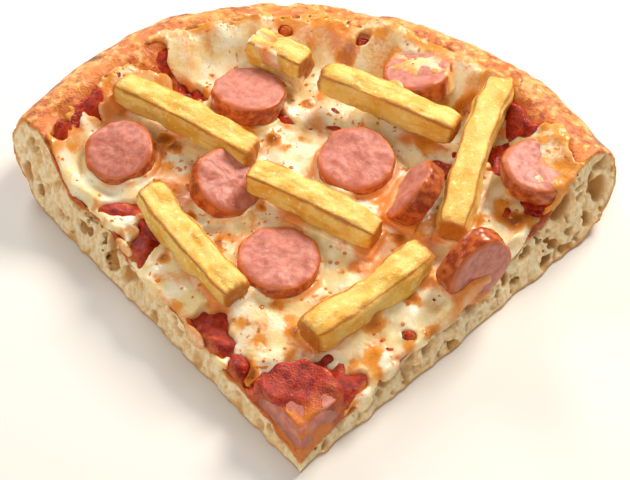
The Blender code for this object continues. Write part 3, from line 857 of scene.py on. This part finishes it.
cut_edge = 1 - smooth_step(0.5, 4.0, edge_plan + ragged * 2)
oil_look = 0.70 * patches(SAUCE_PATCHES, 0.75) + 0.34 * flecks(7, 49) + 0.24 * flecks(3, 149)
oil_look = oil_look + 0.55 * (1 - rim_fade) + 0.16 * cut_edge
brown_look = 0.95 * spot_plan + 0.35 * (1 - smooth_step(14, 22, plan_inset)) + 0.12 * cut_edge
brown_look = brown_look + 0.22 * flecks(2.6, 50) + 0.15 * flecks(6, 150)
# gap: distance to the nearest topping, for the oil and the painted shade next to the toppings
cheese_looks = {"oil": oil_look, "brown": brown_look, "gap": all_gaps}
cheese = piece_from_field("melted_cheese", cheese_field, cheese_finish, cheese_looks, simplify=0.02)
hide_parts("cheese")

# %% [markdown]
# ## Frankfurter slices
#
# A slice is a short cylinder with rounded edges. In the oven it dries and puffs a little, so its
# face is uneven and its skin wrinkles. One Geometry Nodes tree makes all ten: a sphere is squared
# up until it is a rounded disc, and noise is then added along its normals.

# %% Geometry Nodes helpers
def new_tree(name, **inputs):
    """A tree with these named inputs and one geometry output."""
    tree = bpy.data.node_groups.new(name, "GeometryNodeTree")
    tree.interface.new_socket("Geometry", in_out="OUTPUT", socket_type="NodeSocketGeometry")
    for socket, kind in inputs.items():
        tree.interface.new_socket(socket, in_out="INPUT", socket_type="NodeSocket" + kind)
    return tree, tree.nodes.new("NodeGroupInput").outputs, tree.nodes.new("NodeGroupOutput")


def finish_tree(tree, result, geometry, material):
    """Ends a tree: real, smooth faces of this material."""
    realized = add(tree, "GeometryNodeRealizeInstances", {"Geometry": geometry}).outputs[0]
    smooth = add(tree, "GeometryNodeSetShadeSmooth", {"Geometry": realized}).outputs[0]
    painted = add(tree, "GeometryNodeSetMaterial", {"Geometry": smooth, "Material": material}).outputs[0]
    tree.links.new(painted, result.inputs[0])


def stored(tree, geometry, name, value):
    """Stores a number at each point."""
    inputs = {"Geometry": geometry, "Name": name, "Value": value}
    return add(tree, "GeometryNodeStoreNamedAttribute", inputs, domain="POINT").outputs[0]


def swollen(tree, geometry, where, layers):
    """Moves a surface in and out along its normals. Each layer of noise has a size, a detail, a
    stretch and a depth, in mm."""
    total = 0.0
    for size, detail, stretch, depth in layers:
        noise = combined(tree, "SUBTRACT", noise_at(tree, where, size, detail, stretch), 0.5)
        total = summed(tree, total, (noise, depth * MM))
    normal = add(tree, "GeometryNodeInputNormal").outputs[0]
    inputs = {"Geometry": geometry, "Offset": vector(tree, "SCALE", normal, total)}
    return add(tree, "GeometryNodeSetPosition", inputs).outputs[0]


def grow(name, tree, base=None, **values):
    """The mesh that a tree makes with these values, as a plain object."""
    piece = link(name, base or bpy.data.meshes.new(name + "_base"))
    modifier = piece.modifiers.new("tree", "NODES")
    modifier.node_group = tree
    for item in tree.interface.items_tree:
        if item.name in values:
            modifier[item.identifier] = values[item.name]
    evaluated = piece.evaluated_get(bpy.context.evaluated_depsgraph_get())
    mesh = bpy.data.meshes.new_from_object(evaluated)
    piece.modifiers.clear()
    mesh.name = name
    piece.data = mesh
    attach(piece, "root")
    return piece


# %% Frankfurter finish
def make_frankfurter_finish():
    material, tree, shader = new_material("smoked_frankfurter", 0.36, depth=0.8, spread=(1.0, 0.35, 0.2))
    where = add(tree, "ShaderNodeTexCoord").outputs["Object"]
    mottle = noise_at(tree, where, 2.2, 4.0)
    fine = noise_at(tree, where, 0.6, 3.0)
    face = mixed(tree, ranged(tree, mottle, 0.36, 0.64), "#c07160", "#d28a77")
    face = mixed(tree, ranged(tree, fine, 0.60, 0.80), face, "#e2a591")
    face = mixed(tree, ranged(tree, fine, 0.33, 0.24), face, "#8c4032")
    radial = summed(tree, look(tree, "radial"), (mottle, 0.16))
    colour = mixed(tree, ranged(tree, radial, 0.91, 1.00), face, "#c66c38")
    skin = mixed(tree, ranged(tree, mottle, 0.35, 0.65), "#9c3d18", "#cb6f35")
    colour = mixed(tree, ranged(tree, radial, 1.02, 1.06), colour, skin)
    connect(
        tree, shader,
        Base_Color=colour,
        Normal=bumped(tree, summed(tree, mottle, fine), 0.07),
        Roughness=ranged(tree, look(tree, "radial"), 0.90, 1.0, 0.46, 0.18),
    )
    return material


frankfurter_finish = make_frankfurter_finish()
print("nodes in the frankfurter's finish:", len(frankfurter_finish.node_tree.nodes))


# %% Slice tree
ROUND = (1, 1, 1)
SLICE_WRINKLES = ((9.0, 1.0, ROUND, 2.8), (3.0, 2.0, ROUND, 0.7), (1.3, 2.0, ROUND, 0.3))


def make_slice_tree():
    tree, given, result = new_tree(
        "frankfurter_slice",
        Diameter="Float", Thickness="Float", Seed="Float", Centre="Vector", Turn="Vector",
    )
    ball = add(tree, "GeometryNodeMeshUVSphere", {"Segments": 132, "Rings": 84, "Radius": 1.0}).outputs[0]
    where = add(tree, "GeometryNodeInputPosition").outputs[0]
    flat = vector(tree, "MULTIPLY", where, (1, 1, 0))
    radius = add(tree, "ShaderNodeVectorMath", {0: flat}, operation="LENGTH").outputs["Value"]
    height = add(tree, "ShaderNodeSeparateXYZ", {0: where}).outputs[2]
    height = combined(tree, "ABSOLUTE", height, 0.0)
    # A seventh power turns the ball into a disc whose edge is only a little rounded.
    powers = summed(tree, combined(tree, "POWER", radius, 7.0), combined(tree, "POWER", height, 7.0))
    disc = vector(tree, "SCALE", where, combined(tree, "POWER", powers, -1 / 7))
    half = combined(tree, "MULTIPLY", given["Diameter"], 0.5)
    tall = combined(tree, "MULTIPLY", given["Thickness"], 0.5)
    sizes = add(tree, "ShaderNodeCombineXYZ", {0: half, 1: half, 2: tall}).outputs[0]
    placed = vector(tree, "MULTIPLY", disc, sizes)
    shaped = add(tree, "GeometryNodeSetPosition", {"Geometry": ball, "Position": placed}).outputs[0]
    marked = stored(tree, shaped, "radial", combined(tree, "DIVIDE", radius, half))
    sample = vector(tree, "ADD", where, given["Seed"])
    rough = swollen(tree, marked, sample, SLICE_WRINKLES)
    down = add(tree, "ShaderNodeCombineXYZ", {2: combined(tree, "MULTIPLY", tall, -1.0)}).outputs[0]
    lowered = add(tree, "GeometryNodeTransform", {"Geometry": rough, "Translation": down}).outputs[0]
    inputs = {"Geometry": lowered, "Translation": given["Centre"], "Rotation": given["Turn"]}
    turned = add(tree, "GeometryNodeTransform", inputs).outputs[0]
    finish_tree(tree, result, turned, frankfurter_finish)
    return tree


slice_tree = make_slice_tree()
print("nodes in the slice tree:", len(slice_tree.nodes))


# %% Slices
def trim_at_cuts(piece):
    """Takes off what hangs over the two cuts, and closes the piece again."""
    shape = bmesh.new()
    shape.from_mesh(piece.data)
    for side in (-1, 1):
        away = Vector((-side * COS, SIN, -LEAN)).normalized()
        parts = shape.verts[:] + shape.edges[:] + shape.faces[:]
        tip = Vector((0, TIP_Y, 0)) * MM
        bmesh.ops.bisect_plane(shape, geom=parts, plane_co=tip, plane_no=away, clear_inner=True)
        open_edges = [edge for edge in shape.edges if edge.is_boundary]
        closing = bmesh.ops.holes_fill(shape, edges=open_edges, sides=0)["faces"]
        bmesh.ops.triangulate(shape, faces=closing)
    shape.to_mesh(piece.data)
    shape.free()


for number, (centre, diameter, thickness, lean, towards) in enumerate(SLICES, 1):
    piece = grow(
        f"frankfurter_slice_{number}", slice_tree,
        Diameter=diameter * MM, Thickness=thickness * MM, Seed=float(number),
        Centre=Vector(centre) * MM, Turn=Vector(slice_turn(lean, towards)),
    )
    if number == TIP_SLICE:
        trim_at_cuts(piece)
    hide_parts(f"frankfurter_{number}")
print("slices:", len(SLICES), "of", len(piece.data.polygons), "faces")

# %% [markdown]
# ## Fries
#
# Frozen fries are cut square, then fried until their corners brown. Their faces sink and wrinkle
# as the water leaves. The tree starts from a finely divided box and rounds its section.

# %% Fry finish
def make_fry_finish():
    material, tree, shader = new_material("fried_potato", 0.38, depth=0.8, spread=(1.0, 0.7, 0.3))
    where = add(tree, "ShaderNodeTexCoord").outputs["Object"]
    patch = noise_at(tree, where, 6.0, 3.0)
    mottle = noise_at(tree, where, 1.8, 4.0)
    fine = noise_at(tree, where, 0.5, 3.0)
    colour = mixed(tree, ranged(tree, patch, 0.36, 0.62), "#eab544", "#f4d377")
    colour = mixed(tree, ranged(tree, mottle, 0.55, 0.72), colour, "#f8e5a4")
    brown = summed(tree, look(tree, "edge"), (mottle, 0.7))
    colour = mixed(tree, ranged(tree, brown, 0.66, 1.30), colour, "#c47a22")
    colour = mixed(tree, ranged(tree, fine, 0.34, 0.24, 0.0, 0.8), colour, "#a35f1c")
    connect(
        tree, shader,
        Base_Color=colour,
        Normal=bumped(tree, summed(tree, mottle, fine), 0.30),
        Roughness=ranged(tree, mottle, 0.35, 0.65, 0.30, 0.50),
    )
    return material


fry_finish = make_fry_finish()
print("nodes in the fries' finish:", len(fry_finish.node_tree.nodes))


# %% Fry tree
FRY_WRINKLES = (
    (11.0, 1.0, ROUND, 4.0), (2.6, 2.0, (0.25, 1, 1), 1.8), (1.1, 2.0, (0.4, 1, 1), 0.6),
)


def make_fry_tree():
    tree, given, result = new_tree(
        "fry",
        Length="Float", Width="Float", Bend="Float", Seed="Float", Turn="Vector", Centre="Vector",
    )
    inputs = {"Size": (2, 2, 2), "Vertices X": 72, "Vertices Y": 18, "Vertices Z": 18}
    box = add(tree, "GeometryNodeMeshCube", inputs).outputs[0]
    where = add(tree, "GeometryNodeInputPosition").outputs[0]
    along, side, up = add(tree, "ShaderNodeSeparateXYZ", {0: where}).outputs
    side_size = combined(tree, "ABSOLUTE", side, 0.0)
    up_size = combined(tree, "ABSOLUTE", up, 0.0)
    # The square section becomes a rounded one, and narrows at both ends.
    largest = combined(tree, "MAXIMUM", side_size, up_size)
    powers = summed(tree, combined(tree, "POWER", side_size, 4.5), combined(tree, "POWER", up_size, 4.5))
    norm = combined(tree, "MAXIMUM", combined(tree, "POWER", powers, 1 / 4.5), 0.001)
    ends = combined(tree, "POWER", combined(tree, "ABSOLUTE", along, 0.0), 14.0)
    shrink = combined(tree, "SUBTRACT", 1.0, combined(tree, "MULTIPLY", ends, 0.22))
    section = combined(tree, "MULTIPLY", combined(tree, "DIVIDE", largest, norm), shrink)
    half = combined(tree, "MULTIPLY", given["Width"], 0.5)
    section = combined(tree, "MULTIPLY", section, half)
    reach = combined(tree, "MULTIPLY", given["Length"], 0.5)
    # The fry bows sideways, most at its middle.
    bow = combined(tree, "SUBTRACT", 1.0, combined(tree, "MULTIPLY", along, along))
    bow = combined(tree, "MULTIPLY", bow, given["Bend"])
    new_side = combined(tree, "ADD", combined(tree, "MULTIPLY", side, section), bow)
    new_up = combined(tree, "MULTIPLY", up, section)
    new_along = combined(tree, "MULTIPLY", along, reach)
    placed = add(tree, "ShaderNodeCombineXYZ", {0: new_along, 1: new_side, 2: new_up}).outputs[0]
    # Its corners and ends are what browns.
    corner = combined(tree, "MULTIPLY", side_size, up_size)
    edge = combined(tree, "MAXIMUM", combined(tree, "POWER", corner, 3.5), ends)
    marked = stored(tree, box, "edge", edge)
    shaped = add(tree, "GeometryNodeSetPosition", {"Geometry": marked, "Position": placed}).outputs[0]
    sample = vector(tree, "ADD", where, given["Seed"])
    rough = swollen(tree, shaped, sample, FRY_WRINKLES)
    inputs = {"Geometry": rough, "Translation": given["Centre"], "Rotation": given["Turn"]}
    turned = add(tree, "GeometryNodeTransform", inputs).outputs[0]
    finish_tree(tree, result, turned, fry_finish)
    return tree


fry_tree = make_fry_tree()
print("nodes in the fry tree:", len(fry_tree.nodes))

# %% Fries
for number, (start, end, bend) in enumerate(FRIES, 1):
    centre = (Vector(start) + Vector(end)) / 2
    length = (Vector(end) - Vector(start)).length
    turn = fry_axes(start, end).to_euler()
    piece = grow(
        f"french_fry_{number}", fry_tree,
        Length=length * MM, Width=FRY_WIDTH * MM, Bend=bend * MM, Seed=float(20 + number),
        Centre=centre * MM, Turn=Vector(turn),
    )
    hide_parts(f"fry_{number}")
print("fries:", len(FRIES), "of", len(piece.data.polygons), "faces")

# %% [markdown]
# ## Beads of oil
#
# Fat from the cheese and the sausage gathers in flat orange beads. One more tree scatters them
# over the cheese, on what faces up, with a fixed seed. Each is sunk to its middle.

# %% Oil beads
BEAD_FACES = 160  # 16 segments of 10 rings


def make_bead_tree(finish):
    tree, given, result = new_tree(
        "oil_beads",
        Ground="Geometry", Density="Float", Smallest="Float", Largest="Float", Seed="Int",
    )
    normal = add(tree, "GeometryNodeInputNormal").outputs[0]
    upward = add(tree, "ShaderNodeSeparateXYZ", {0: normal}).outputs[2]
    level = combined(tree, "GREATER_THAN", upward, 0.75)
    inputs = {"Mesh": given["Ground"], "Selection": level}
    inputs.update({name: given[name] for name in ("Density", "Seed")})
    spread = add(tree, "GeometryNodeDistributePointsOnFaces", inputs)
    bead = add(tree, "GeometryNodeMeshUVSphere", {"Segments": 16, "Rings": 10, "Radius": 1.0}).outputs[0]
    inputs = {2: given["Smallest"], 3: given["Largest"], "Seed": 5}
    size = add(tree, "FunctionNodeRandomValue", inputs).outputs[1]
    flat = combined(tree, "MULTIPLY", size, 0.45)
    scale = add(tree, "ShaderNodeCombineXYZ", {0: size, 1: size, 2: flat}).outputs[0]
    inputs = {"Points": spread.outputs[0], "Instance": bead, "Scale": scale}
    inputs["Rotation"] = spread.outputs["Rotation"]
    beads = add(tree, "GeometryNodeInstanceOnPoints", inputs).outputs[0]
    finish_tree(tree, result, beads, finish)
    return tree


oil_finish, _, oil_shader = new_material(
    "orange_cooking_oil", 0.08, depth=0.6, spread=(1.0, 0.5, 0.1), ior=1.47
)
oil_shader.inputs["Base Color"].default_value = linear("#e08a2c")
beads = grow(
    "oil_beads", make_bead_tree(oil_finish), base=cheese.data.copy(),
    Density=24000.0, Smallest=0.25 * MM, Largest=0.75 * MM, Seed=3,
)
print("oil beads:", len(beads.data.polygons) // BEAD_FACES)

# %% [markdown]
# ## Final update
#
# The view layer is brought up to date at the end.

# %% Final update
bpy.context.view_layer.update()
